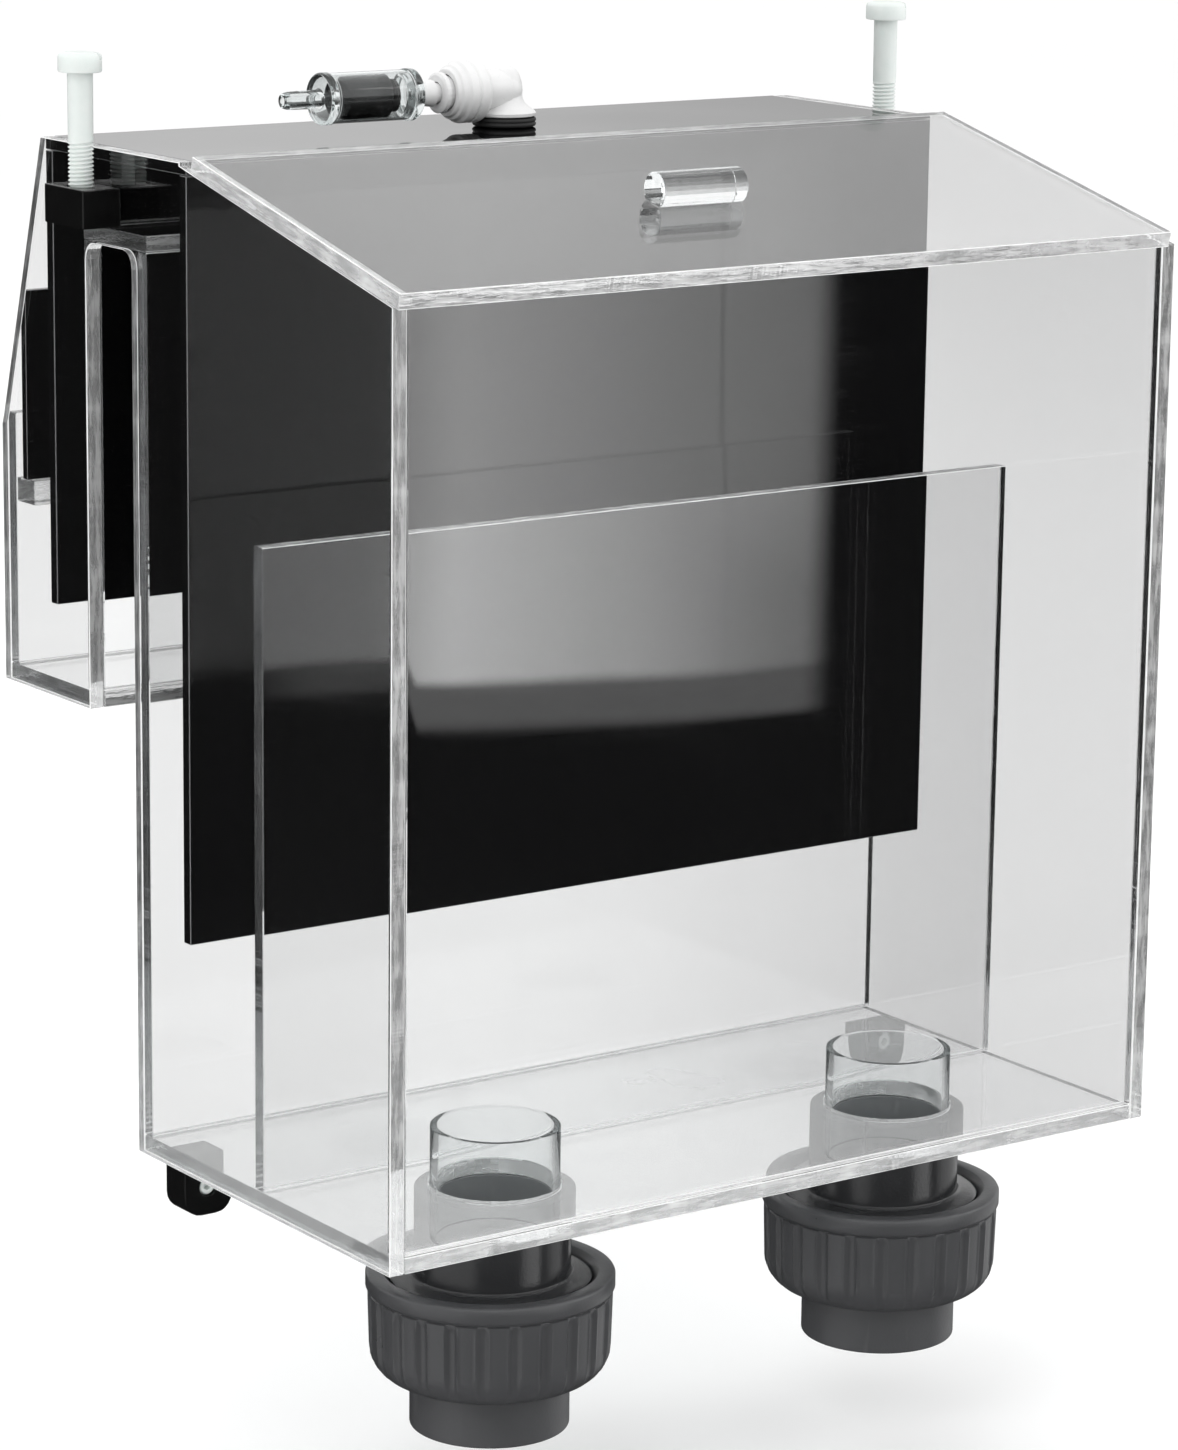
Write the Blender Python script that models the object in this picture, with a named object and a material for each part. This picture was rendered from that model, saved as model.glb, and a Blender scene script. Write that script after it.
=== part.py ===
"""Hang-on siphon overflow box for an aquarium.

Two clear acrylic compartments are held by a pair of one-piece end plates that
straddle the tank wall.  A black three-sided siphon cover joins them over the
rim.  Water passes the weir comb of the inner box, rises behind the rear cover
sheet, crosses the bridge and drops into the outer box, where a baffle sets the
level ahead of two standpipes.  Each standpipe leaves through a pipe union.

Frame: X runs along the tank wall (0 = middle of the unit, left = -X), +Y
points into the tank (0 = middle of the rim slot, front = -Y), +Z is up
(0 = underside of the bridge, the face that sits on the tank rim).
Dimensions are in millimetres.
"""
import math

import bmesh
import bpy
from mathutils import Vector

MM = 0.001
GAP = 0.3              # clearance left between neighbouring pieces
CUT_OVERSHOOT = 5.0    # how far a through cutter stands out of its piece
SIDES = (("left", -1), ("right", 1))

# clear boxes
WIDTH = 290.0          # over the two end plates
SHEET = 5.0            # clear sheet thickness
SLOT = 28.0            # rim slot between the two boxes
SLOT_R = 5.5           # upper corners of the rim slot
OUTER_DEPTH = 145.0    # outer box, front face to tank-side face
OUTER_FLOOR_Z = -283.5  # underside of the outer floor
INNER_DEPTH = 54.7     # inner box, front to back
INNER_FLOOR_Z = -146.6  # underside of the inner floor
FRONT_TOP_Z = 0.2      # end plate height at the front edge
FRONT_PANEL_DROP = 0.2  # front panel top below the end plates
WEIR_Z = -60.0         # top of the tank-side weir sheet
GLASS_PANEL_TOP = -0.05  # top edge of the two panels against the glass
BAFFLE_Y = -85.3       # front face
BAFFLE_TOP = -79.8
LID_SLOPE = 0.2431     # rise per depth of the slanted lid

# black siphon cover
COVER_SHEET = 4.0
COVER_TOP = 29.6
COVER_FRONT_Y = -42.8
COVER_REAR_Y = 42.2
FRONT_LEG_Z = -210.4
REAR_LEG_Z = -117.6

# standpipes
PIPE_X = 76.5
PIPE_Y = -110.3
PIPE_R = 20.0
PIPE_INNER_R = 17.9
PIPE_TOP = -260.6
PIPE_END = -302.6

# airline
AIR_Y = -0.3
ARM_Z = 41.3           # axis of the elbow arm and check valve
GROMMET_WAIST_R = 6.0

# faces worked out from the sizes above
END_X = WIDTH / 2                  # outer face of an end plate
CROSS_X = END_X - SHEET - GAP      # ends of every cross sheet
OUTER_REAR_Y = -SLOT / 2           # tank-side face of the outer box
OUTER_FRONT_Y = OUTER_REAR_Y - OUTER_DEPTH
INNER_FRONT_Y = SLOT / 2           # face of the inner box against the glass
INNER_REAR_Y = INNER_FRONT_Y + INNER_DEPTH
OUTER_FLOOR_TOP = OUTER_FLOOR_Z + SHEET
INNER_FLOOR_TOP = INNER_FLOOR_Z + SHEET
COVER_UNDER = COVER_TOP - COVER_SHEET

# look: base colour, roughness, alpha
LOOKS = {
    "clear": ((0.92, 0.95, 0.96), 0.03, 0.35),
    "black": ((0.01, 0.01, 0.012), 0.08, 1.0),
    "grey": ((0.11, 0.115, 0.12), 0.45, 1.0),
    "nylon": ((0.85, 0.87, 0.84), 0.4, 1.0),
    "white": ((0.9, 0.9, 0.9), 0.35, 1.0),
    "rubber": ((0.02, 0.02, 0.02), 0.8, 1.0),
}


# ---------------------------------------------------------------- helpers
def clear_scene():
    for obj in list(bpy.data.objects):
        bpy.data.objects.remove(obj, do_unlink=True)


def make_material(name, look):
    colour, roughness, alpha = LOOKS[look]
    mat = bpy.data.materials.new("mat_" + name)
    mat.use_nodes = True
    bsdf = mat.node_tree.nodes["Principled BSDF"]
    bsdf.inputs["Base Color"].default_value = (*colour, 1.0)
    bsdf.inputs["Roughness"].default_value = roughness
    bsdf.inputs["Alpha"].default_value = alpha
    return mat


def add_piece(name, bm, look, origin=(0, 0, 0)):
    """Turn a bmesh into a named object with its origin at a point in mm."""
    bmesh.ops.remove_doubles(bm, verts=bm.verts, dist=1e-7)
    bmesh.ops.triangulate(bm, faces=[f for f in bm.faces if len(f.verts) > 4])
    bmesh.ops.recalc_face_normals(bm, faces=bm.faces)
    location = Vector(origin) * MM
    bmesh.ops.translate(bm, vec=-location, verts=bm.verts)
    mesh = bpy.data.meshes.new(name)
    bm.to_mesh(mesh)
    bm.free()
    obj = bpy.data.objects.new(name, mesh)
    bpy.context.scene.collection.objects.link(obj)
    obj.location = location
    mesh.materials.append(make_material(name, look))
    return obj


def combine(obj, name, bm, operation="DIFFERENCE"):
    """Cut a hidden helper from a piece, or join it on."""
    tool = add_piece(name, bm, "rubber")
    tool.hide_render = True
    tool.display_type = "WIRE"
    mod = obj.modifiers.new("bool_" + name, "BOOLEAN")
    mod.operation = operation
    mod.solver = "EXACT"
    mod.object = tool


def place(axis, along, first, second):
    """Point at a distance along an axis; the other two axes keep XYZ order."""
    return {"X": (along, first, second),
            "Y": (first, along, second),
            "Z": (first, second, along)}[axis]


def prism(outline, start, end, axis):
    """Closed extrusion of a polygon along X, Y or Z."""
    bm = bmesh.new()
    low, high = [[bm.verts.new(Vector(place(axis, along, *point)) * MM)
                  for point in outline] for along in (start, end)]
    bm.faces.new(low)
    bm.faces.new(high)
    for i in range(len(outline)):
        j = (i + 1) % len(outline)
        bm.faces.new((low[i], low[j], high[j], high[i]))
    return bm


def box(x0, x1, y0, y1, z0, z1):
    return prism([(x0, y0), (x1, y0), (x1, y1), (x0, y1)], z0, z1, "Z")


def cross_sheet(y0, y1, z0, z1):
    """Sheet that spans between the end plates."""
    return box(-CROSS_X, CROSS_X, y0, y1, z0, z1)


def lathe(profile, centre, axis="Z", segments=48, radius_offset=None):
    """Turn a closed loop of (radius, distance along axis) about an axis."""
    bm = bmesh.new()
    centre = Vector(centre)
    rings = []
    for k, (radius, along) in enumerate(profile):
        ring = []
        for i in range(segments if radius else 1):
            angle = 2 * math.pi * i / segments
            r = radius + (radius_offset(k, i) if radius_offset else 0.0)
            offset = place(axis, along, r * math.cos(angle), r * math.sin(angle))
            ring.append(bm.verts.new((centre + Vector(offset)) * MM))
        rings.append(ring)
    for k, ring in enumerate(rings):
        following = rings[(k + 1) % len(rings)]
        if len(ring) == 1 and len(following) == 1:
            continue
        for i in range(segments):
            j = (i + 1) % segments
            if len(ring) == 1:
                bm.faces.new((ring[0], following[j], following[i]))
            elif len(following) == 1:
                bm.faces.new((ring[i], ring[j], following[0]))
            else:
                bm.faces.new((ring[i], ring[j], following[j], following[i]))
    return bm


def rod(radius, start, end, centre, axis="Z", segments=48):
    profile = [(0, start), (radius, start), (radius, end), (0, end)]
    return lathe(profile, centre, axis, segments)


def through_rod(radius, low, high, centre, axis="Z", segments=48):
    """Cutter for a round hole through a piece between low and high."""
    return rod(radius, low - CUT_OVERSHOOT, high + CUT_OVERSHOOT,
               centre, axis, segments)


def arc(cx, cy, radius, start_deg, end_deg, steps):
    angles = [math.radians(start_deg + (end_deg - start_deg) * k / steps)
              for k in range(steps + 1)]
    return [(cx + radius * math.cos(a), cy + radius * math.sin(a))
            for a in angles]


# ---------------------------------------------------------------- clear boxes
def end_plate_top(y):
    """Height of the sloping top edge that carries the lid."""
    return FRONT_TOP_Z + LID_SLOPE * (y - OUTER_FRONT_Y)


def build_end_plates():
    outline = [  # (y, z), up the front, over the cover, down into the tank
        (OUTER_FRONT_Y, OUTER_FLOOR_Z), (OUTER_FRONT_Y, FRONT_TOP_Z),
        (COVER_FRONT_Y, end_plate_top(COVER_FRONT_Y)),
        (COVER_FRONT_Y, COVER_TOP), (COVER_REAR_Y - 0.8, COVER_TOP),
        (INNER_REAR_Y - 1.4, WEIR_Z + 0.4), (INNER_REAR_Y, WEIR_Z - 3.5),
        (INNER_REAR_Y, INNER_FLOOR_Z), (INNER_FRONT_Y, INNER_FLOOR_Z)]
    outline += arc(INNER_FRONT_Y - SLOT_R, -SLOT_R, SLOT_R, 0, 90, 5)
    outline += arc(OUTER_REAR_Y + SLOT_R, -SLOT_R, SLOT_R, 90, 180, 5)
    outline += [(OUTER_REAR_Y, OUTER_FLOOR_Z)]
    add_piece("side_panel_left", prism(outline, -END_X, -END_X + SHEET, "X"), "clear")
    add_piece("side_panel_right", prism(outline, END_X - SHEET, END_X, "X"), "clear")


def build_outer_box():
    floor = add_piece("outer_floor", cross_sheet(
        OUTER_FRONT_Y, OUTER_REAR_Y, OUTER_FLOOR_Z, OUTER_FLOOR_TOP), "clear")
    for side, sign in SIDES:
        combine(floor, "cut_floor_" + side, through_rod(
            PIPE_R + GAP, OUTER_FLOOR_Z, OUTER_FLOOR_TOP, (sign * PIPE_X, PIPE_Y, 0)))
    panels = (  # name, front face y, top z
        ("outer_front_panel", OUTER_FRONT_Y, FRONT_TOP_Z - FRONT_PANEL_DROP),
        ("outer_rear_panel", OUTER_REAR_Y - SHEET, GLASS_PANEL_TOP),
        ("chamber_baffle", BAFFLE_Y, BAFFLE_TOP))
    for name, y, top in panels:
        add_piece(name, cross_sheet(y, y + SHEET, OUTER_FLOOR_TOP + GAP, top), "clear")


def build_bridge():
    """Plate on both glass-side panels, with a shallow land between them
    that sits on the rim."""
    wing_z = GLASS_PANEL_TOP + GAP
    land_front = OUTER_REAR_Y + GAP
    land_rear = INNER_FRONT_Y - GAP
    front = OUTER_REAR_Y - SHEET
    rear = INNER_FRONT_Y + SHEET
    outline = [(front, wing_z), (land_front, wing_z), (land_front, 0),
               (land_rear, 0), (land_rear, wing_z), (rear, wing_z),
               (rear, SHEET), (front, SHEET)]
    add_piece("bridge_plate", prism(outline, -CROSS_X, CROSS_X, "X"), "clear")


def build_inner_box():
    panel_z = INNER_FLOOR_TOP + GAP
    add_piece("inner_front_panel", cross_sheet(
        INNER_FRONT_Y, INNER_FRONT_Y + SHEET, panel_z, GLASS_PANEL_TOP), "clear")
    add_piece("inner_floor", cross_sheet(
        INNER_FRONT_Y, INNER_REAR_Y, INNER_FLOOR_Z, INNER_FLOOR_TOP), "clear")
    add_piece("weir_panel", cross_sheet(
        INNER_REAR_Y - SHEET, INNER_REAR_Y, panel_z, WEIR_Z), "clear")


# ---------------------------------------------------------------- weir comb
COMB_Y = 57.2          # front face
COMB_SHEET = 3.0
COMB_BOTTOM = -80.6
COMB_TOP = -20.2
COMB_SLOT_TOP = -62.6
COMB_PITCH = 7.2
COMB_SLOT_WIDTH = 3.2
COMB_END_GAP = 0.3     # from the comb's ends to the ends of the cross sheets
LEDGE_FRONT_Y = 52.0
LEDGE_BOTTOM = -88.1
LEDGE_HEIGHT = 7.7


def build_comb_ledge():
    """Bar behind the weir panel, grooved to seat the comb."""
    rear = INNER_REAR_Y - SHEET - GAP
    top = LEDGE_BOTTOM + LEDGE_HEIGHT
    groove_front = COMB_Y - GAP
    groove_rear = COMB_Y + COMB_SHEET + GAP
    seat = COMB_BOTTOM - GAP
    outline = [(LEDGE_FRONT_Y, LEDGE_BOTTOM), (rear, LEDGE_BOTTOM), (rear, top),
               (groove_rear, top), (groove_rear, seat), (groove_front, seat),
               (groove_front, top), (LEDGE_FRONT_Y, top)]
    add_piece("comb_ledge", prism(outline, -CROSS_X, CROSS_X, "X"), "clear")


def build_weir_comb():
    half = CROSS_X - COMB_END_GAP
    count = int((2 * half - COMB_PITCH) // COMB_PITCH)
    start = -count * COMB_PITCH / 2
    outline = [(-half, COMB_TOP), (-half, COMB_BOTTOM)]
    for k in range(count):
        x0 = start + k * COMB_PITCH + (COMB_PITCH - COMB_SLOT_WIDTH) / 2
        x1 = x0 + COMB_SLOT_WIDTH
        outline += [(x0, COMB_BOTTOM), (x0, COMB_SLOT_TOP),
                    (x1, COMB_SLOT_TOP), (x1, COMB_BOTTOM)]
    outline += [(half, COMB_BOTTOM), (half, COMB_TOP)]
    add_piece("weir_comb", prism(outline, COMB_Y, COMB_Y + COMB_SHEET, "Y"), "black")


# ---------------------------------------------------------------- siphon cover
def build_siphon_cover():
    top = add_piece("siphon_top", cross_sheet(
        COVER_FRONT_Y, COVER_REAR_Y, COVER_UNDER, COVER_TOP), "black")
    combine(top, "cut_air_port", through_rod(
        GROMMET_WAIST_R + GAP, COVER_UNDER, COVER_TOP, (0, AIR_Y, 0), segments=32))
    legs = (  # name, front face y, bottom z
        ("siphon_front_sheet", COVER_FRONT_Y, FRONT_LEG_Z),
        ("siphon_rear_sheet", COVER_REAR_Y - COVER_SHEET, REAR_LEG_Z))
    for name, y, bottom in legs:
        add_piece(name, cross_sheet(
            y, y + COVER_SHEET, bottom, COVER_UNDER - GAP), "black")


# ---------------------------------------------------------------- lid
LID_SHEET = 5.0
LID_LEFT_X = -144.9
LID_RIGHT_X = 140.1
LID_FRONT_Y = -162.9
LID_REAR_Y = -50.2
KNOB_LEFT_X = -21.5
KNOB_RIGHT_X = 9.5
KNOB_Y = -111.2        # centre line on the lid
KNOB_R = 5.6
KNOB_RISE = 4.0        # centre of the round above the flat
LID_ANGLE = math.atan(LID_SLOPE)
LID_SHEET_UP = LID_SHEET / math.cos(LID_ANGLE)  # sheet thickness along Z


def lid_under(y):
    return end_plate_top(y) + GAP


def build_lid():
    front, rear = LID_FRONT_Y, LID_REAR_Y
    lean = LID_SHEET * math.sin(LID_ANGLE)  # keeps the end faces square
    outline = [(front + lean, lid_under(front + lean)),
               (rear + lean, lid_under(rear + lean)),
               (rear, lid_under(rear) + LID_SHEET_UP),
               (front, lid_under(front) + LID_SHEET_UP)]
    add_piece("lid", prism(outline, LID_LEFT_X, LID_RIGHT_X, "X"), "clear")


def build_lid_knob():
    """D-section bar lying along X, square to the lid."""
    cosine, sine = math.cos(LID_ANGLE), math.sin(LID_ANGLE)
    base_z = lid_under(KNOB_Y) + LID_SHEET_UP + GAP / cosine
    flat_angle = math.degrees(math.asin(KNOB_RISE / KNOB_R))
    section = arc(0, KNOB_RISE, KNOB_R, -flat_angle, 180 + flat_angle, 18)
    outline = [(KNOB_Y + across * cosine - up * sine,
                base_z + across * sine + up * cosine) for across, up in section]
    add_piece("lid_knob", prism(outline, KNOB_LEFT_X, KNOB_RIGHT_X, "X"), "clear")


# ------------------------------------------- rim blocks and levelling screws
BLOCK_WIDTH = 13.0
BLOCK_DEPTH = 24.0
BLOCK_BOTTOM = 6.8
BLOCK_TOP = 18.6
SCREW_X = 152.2
# y of the screw and block centre: the right pair sits nearer the front
SCREW_Y = {"left": 3.2, "right": -3.3}
SCREW_R = 3.9
SCREW_LENGTH = 45.0
HEAD_R = 6.7
HEAD_HEIGHT = 6.0
HEAD_CHAMFER = 0.6
HEAD_UNDER = {"left": 52.9, "right": 58.3}
DRIVER_SLOT_WIDTH = 1.6
DRIVER_SLOT_DEPTH = 2.2


def build_rim_block(side, sign):
    x0, x1 = sorted((sign * (END_X + GAP), sign * (END_X + GAP + BLOCK_WIDTH)))
    y = SCREW_Y[side]
    block = add_piece("rim_block_" + side, box(
        x0, x1, y - BLOCK_DEPTH / 2, y + BLOCK_DEPTH / 2,
        BLOCK_BOTTOM, BLOCK_TOP), "black")
    combine(block, "cut_block_" + side, through_rod(
        SCREW_R + GAP, BLOCK_BOTTOM, BLOCK_TOP, (sign * SCREW_X, y, 0), segments=24))


def build_level_screw(side, sign):
    x, y = sign * SCREW_X, SCREW_Y[side]
    under = HEAD_UNDER[side]
    top = under + HEAD_HEIGHT
    tip = under - SCREW_LENGTH
    profile = [(0, tip), (SCREW_R - 0.8, tip), (SCREW_R, tip + 1.0),
               (SCREW_R, under), (HEAD_R, under), (HEAD_R, top - HEAD_CHAMFER),
               (HEAD_R - HEAD_CHAMFER, top), (0, top)]
    screw = add_piece("level_screw_" + side, lathe(profile, (x, y, 0), segments=24),
                      "nylon", origin=(x, y, under))
    combine(screw, "cut_slot_" + side, box(
        x - HEAD_R - 2, x + HEAD_R + 2,
        y - DRIVER_SLOT_WIDTH / 2, y + DRIVER_SLOT_WIDTH / 2,
        top - DRIVER_SLOT_DEPTH, top + 3))


# ------------------------------------------- foot blocks and spacing screws
FOOT_AXIS_X = 133.0
FOOT_AXIS_Z = -291.2
FOOT_WIDTH = 17.0
FOOT_FRONT_Y = -36.6
FOOT_REAR_Y = -24.9
FOOT_HEIGHT = 16.5
FOOT_CORNER_R = 6.0
FOOT_SCREW_R = 2.9


def build_foot_block(side, sign):
    """Block under the outer floor, lower corners rounded."""
    centre_x = sign * FOOT_AXIS_X
    x0, x1 = centre_x - FOOT_WIDTH / 2, centre_x + FOOT_WIDTH / 2
    top = OUTER_FLOOR_Z - GAP
    r = FOOT_CORNER_R
    corner_z = top - FOOT_HEIGHT + r
    outline = [(x0, top)]
    outline += arc(x0 + r, corner_z, r, 180, 270, 5)
    outline += arc(x1 - r, corner_z, r, 270, 360, 5)
    outline += [(x1, top)]
    foot = add_piece("foot_block_" + side,
                     prism(outline, FOOT_FRONT_Y, FOOT_REAR_Y, "Y"), "black")
    combine(foot, "cut_foot_" + side, through_rod(
        FOOT_SCREW_R + GAP, FOOT_FRONT_Y, FOOT_REAR_Y,
        (centre_x, 0, FOOT_AXIS_Z), "Y", 20))


def build_foot_screw(side, sign):
    """Headless screw along Y with a round recess in its front end."""
    x = sign * FOOT_AXIS_X
    front, rear = FOOT_FRONT_Y + 0.8, FOOT_REAR_Y - 0.2
    profile = [(0, front + 2.4), (1.3, front + 2.4), (1.3, front), (2.4, front),
               (FOOT_SCREW_R, front + 0.5), (FOOT_SCREW_R, rear - 0.8),
               (2.0, rear), (0, rear)]
    add_piece("foot_screw_" + side, lathe(profile, (x, 0, FOOT_AXIS_Z), "Y", 20),
              "black", origin=(x, front, FOOT_AXIS_Z))


def build_mounts():
    for side, sign in SIDES:
        build_rim_block(side, sign)
        build_level_screw(side, sign)
        build_foot_block(side, sign)
        build_foot_screw(side, sign)


# ---------------------------------------------------------------- pipework
UNION_BORE_R = 17.5
NECK_R = 24.8
SEAT_Z = -327.0        # lower face of the socket
TAIL_FACE_Z = SEAT_Z - GAP
TAIL_END = SEAT_Z - 30.0
TAIL_SOCKET_DEPTH = 22.0
TAIL_FLANGE = 6.0      # flange height at the neck
GROOVE_INNER_R = 21.9
GROOVE_OUTER_R = 25.1
GROOVE_DEPTH = 3.0
ORING_SECTION_R = 1.2
ORING_DROP = 0.1       # top of the ring below the tail face
NUT_TOP = -307.3
NUT_END = -341.7
NUT_R = 38.5
NUT_BORE_R = 31.8
NUT_LIP_R = 25.3
NUT_RIBS = 24
STEPS_PER_RIB = 3      # the last step of each is the groove
RIB_GROOVE = 0.9
RIBBED_RINGS = (3, 4)  # rows of the nut profile that carry the grooves


def build_standpipe(side, x):
    profile = [(PIPE_INNER_R, PIPE_END), (PIPE_R, PIPE_END),
               (PIPE_R, PIPE_TOP), (PIPE_INNER_R, PIPE_TOP)]
    add_piece("standpipe_" + side, lathe(profile, (x, PIPE_Y, 0)), "clear",
              origin=(x, PIPE_Y, PIPE_TOP))


def build_union_socket(side, x):
    top = OUTER_FLOOR_Z - GAP
    stop = PIPE_END - GAP
    profile = [(PIPE_R + GAP, top), (NECK_R, top), (NECK_R, NUT_TOP + 0.4),
               (30.4, NUT_TOP - 1.2), (31.4, NUT_TOP - 2.2), (31.4, SEAT_Z),
               (UNION_BORE_R, SEAT_Z), (UNION_BORE_R, stop), (PIPE_R + GAP, stop)]
    add_piece("union_socket_" + side, lathe(profile, (x, PIPE_Y, 0)), "grey")


def build_union_oring(side, x):
    section = arc((GROOVE_INNER_R + GROOVE_OUTER_R) / 2,
                  TAIL_FACE_Z - ORING_DROP - ORING_SECTION_R,
                  ORING_SECTION_R, 0, 300, 5)
    add_piece("union_oring_" + side,
              lathe(section, (x, PIPE_Y, 0), segments=36), "rubber")


def build_union_tail(side, x):
    face = TAIL_FACE_Z
    groove = face - GROOVE_DEPTH
    stop = TAIL_END + TAIL_SOCKET_DEPTH
    profile = [(UNION_BORE_R, face), (GROOVE_INNER_R, face),
               (GROOVE_INNER_R, groove), (GROOVE_OUTER_R, groove),
               (GROOVE_OUTER_R, face), (31.2, face), (31.2, face - 5.6),
               (NECK_R, face - TAIL_FLANGE), (NECK_R, TAIL_END),
               (PIPE_R + GAP, TAIL_END), (PIPE_R + GAP, stop), (UNION_BORE_R, stop)]
    add_piece("union_tail_" + side, lathe(profile, (x, PIPE_Y, 0)), "grey",
              origin=(x, PIPE_Y, SEAT_Z))


def rib_offset(ring, step):
    in_groove = step % STEPS_PER_RIB == STEPS_PER_RIB - 1
    return -RIB_GROOVE if ring in RIBBED_RINGS and in_groove else 0.0


def build_union_nut(side, x):
    lip = TAIL_FACE_Z - TAIL_FLANGE - GAP
    profile = [(33.2, NUT_TOP), (NUT_R, NUT_TOP), (NUT_R, NUT_TOP - 5.4),
               (NUT_R - 0.7, NUT_TOP - 6.2), (NUT_R - 1.0, NUT_TOP - 23.0),
               (NUT_R - 3.4, NUT_TOP - 29.4), (NUT_R - 9.0, NUT_TOP - 33.4),
               (NUT_LIP_R, NUT_END), (NUT_LIP_R, lip), (NUT_BORE_R, lip),
               (NUT_BORE_R, NUT_TOP - 1.4)]
    bm = lathe(profile, (x, PIPE_Y, 0), segments=NUT_RIBS * STEPS_PER_RIB,
               radius_offset=rib_offset)
    add_piece("union_nut_" + side, bm, "grey", origin=(x, PIPE_Y, SEAT_Z))


def build_pipework():
    for side, sign in SIDES:
        x = sign * PIPE_X
        build_standpipe(side, x)
        build_union_socket(side, x)
        build_union_oring(side, x)
        build_union_tail(side, x)
        build_union_nut(side, x)


# ---------------------------------------------------------------- airline
STEM_CENTRE = (0, AIR_Y, 0)
ARM_CENTRE = (0, AIR_Y, ARM_Z)   # profiles about the arm run along X
GROMMET_TOP = COVER_TOP + 4.2
ARM_END_X = -22.5
DISC_FACES_X = (-43.0, -44.2)

ARM_PROFILE = [  # (radius, x) outside of the elbow arm
    (0, 1.5), (5.0, 1.2), (6.3, -1.0), (6.4, -11.4), (8.7, -11.9),
    (9.0, -12.6), (9.0, -18.2), (8.4, -19.0), (8.2, -20.9), (7.4, -21.5),
    (7.2, ARM_END_X), (0, ARM_END_X)]
ARM_SOCKET_PROFILE = [  # (radius, x) stepped hole in the arm's end
    (0, -10.0), (3.5, -10.0), (3.5, -19.0), (5.6, -19.0), (5.6, -26.0), (0, -26.0)]

# check valve along -X: cap with hose stub, clear shell with inlet barb
LINE_PIECES = (  # name, look, origin, (radius, x) profile
    ("elbow_collet", "white", (ARM_END_X, AIR_Y, ARM_Z), [
        (3.5, -20.8), (5.3, -20.8), (5.3, -24.1), (6.5, -24.1),
        (6.5, -25.7), (5.6, -26.1), (3.5, -26.1)]),
    ("valve_cap", "clear", (0, 0, 0), [
        (1.9, -10.4), (3.2, -10.4), (3.2, -34.6), (7.5, -34.9),
        (8.2, -35.6), (8.2, -38.0), (6.3, -38.0), (6.3, -41.0),
        (5.2, -41.0), (5.2, -37.4), (1.9, -37.4)]),
    ("valve_shell", "clear", (0, 0, 0), [
        (6.6, -38.3), (7.9, -38.3), (7.9, -66.2), (8.2, -66.4),
        (8.2, -69.0), (7.6, -69.7), (3.2, -69.7), (3.2, -80.8),
        (2.6, -83.2), (1.4, -83.2), (1.4, -66.4), (6.6, -66.4)]),
    ("valve_core", "black", (0, 0, 0), [
        (1.6, -46.2), (6.3, -46.2), (6.3, -48.2), (5.8, -48.8),
        (6.3, -49.4), (6.3, -63.0), (1.6, -63.0)]),
)


def build_air_grommet():
    """Rubber ring gripping the edge of the port in the siphon top."""
    lower, upper = COVER_UNDER - GAP, COVER_TOP + GAP
    profile = [(3.5, COVER_UNDER - 2.6), (6.6, COVER_UNDER - 2.6), (7.4, lower),
               (GROMMET_WAIST_R, lower), (GROMMET_WAIST_R, upper), (9.8, upper),
               (10.2, COVER_TOP + 1.0), (10.2, COVER_TOP + 3.6),
               (9.6, GROMMET_TOP), (3.5, GROMMET_TOP)]
    add_piece("air_grommet", lathe(profile, STEM_CENTRE, segments=24), "rubber")


def build_air_elbow():
    """Upright stem with an arm joined on along -X, both bored through."""
    base = GROMMET_TOP + GAP
    stem_end = COVER_UNDER - 4.0
    profile = [(0, stem_end), (3.2, stem_end), (3.2, base), (9.2, base),
               (9.6, base + 0.8), (8.0, base + 2.4), (5.6, base + 3.6),
               (5.0, base + 5.0), (5.0, ARM_Z + 4.0), (4.2, ARM_Z + 6.2),
               (2.4, ARM_Z + 7.4), (0, ARM_Z + 7.6)]
    elbow = add_piece("air_elbow", lathe(profile, STEM_CENTRE, segments=24),
                      "white", origin=ARM_CENTRE)
    combine(elbow, "join_arm", lathe(ARM_PROFILE, ARM_CENTRE, "X", 24), "UNION")
    combine(elbow, "cut_arm", lathe(ARM_SOCKET_PROFILE, ARM_CENTRE, "X", 24))
    combine(elbow, "cut_arm_bore", rod(2.2, 0.6, -12.0, ARM_CENTRE, "X", 16))
    combine(elbow, "cut_stem_bore", rod(
        2.0, stem_end - CUT_OVERSHOOT, ARM_Z + 0.5, STEM_CENTRE, segments=16))


def build_check_valve():
    """Collet at the arm's end and the valve pieces beyond it."""
    for name, look, origin, profile in LINE_PIECES:
        add_piece(name, lathe(profile, ARM_CENTRE, "X", 24), look, origin=origin)
    add_piece("valve_disc", rod(4.8, *DISC_FACES_X, ARM_CENTRE, "X", 24), "rubber",
              origin=(sum(DISC_FACES_X) / 2, AIR_Y, ARM_Z))


clear_scene()
build_end_plates()
build_outer_box()
build_bridge()
build_inner_box()
build_comb_ledge()
build_weir_comb()
build_siphon_cover()
build_lid()
build_lid_knob()
build_mounts()
build_pipework()
build_air_grommet()
build_air_elbow()
build_check_valve()
bpy.context.view_layer.update()
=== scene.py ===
"""Hang-on siphon overflow box of clear and black acrylic sheet.

Left is -x and right is +x; the camera stands on the -y side, and z is up. Two pipe
unions hang under the outer floor, and the airline runs over the top towards -x.
Most sheets are kept from the CAD; turned parts and screws are modelled here.
Shape sizes are in millimetres; materials, lights and camera are in metres.
"""
import math
from functools import cached_property

import bpy
import bmesh
from mathutils import Matrix, Vector


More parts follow.
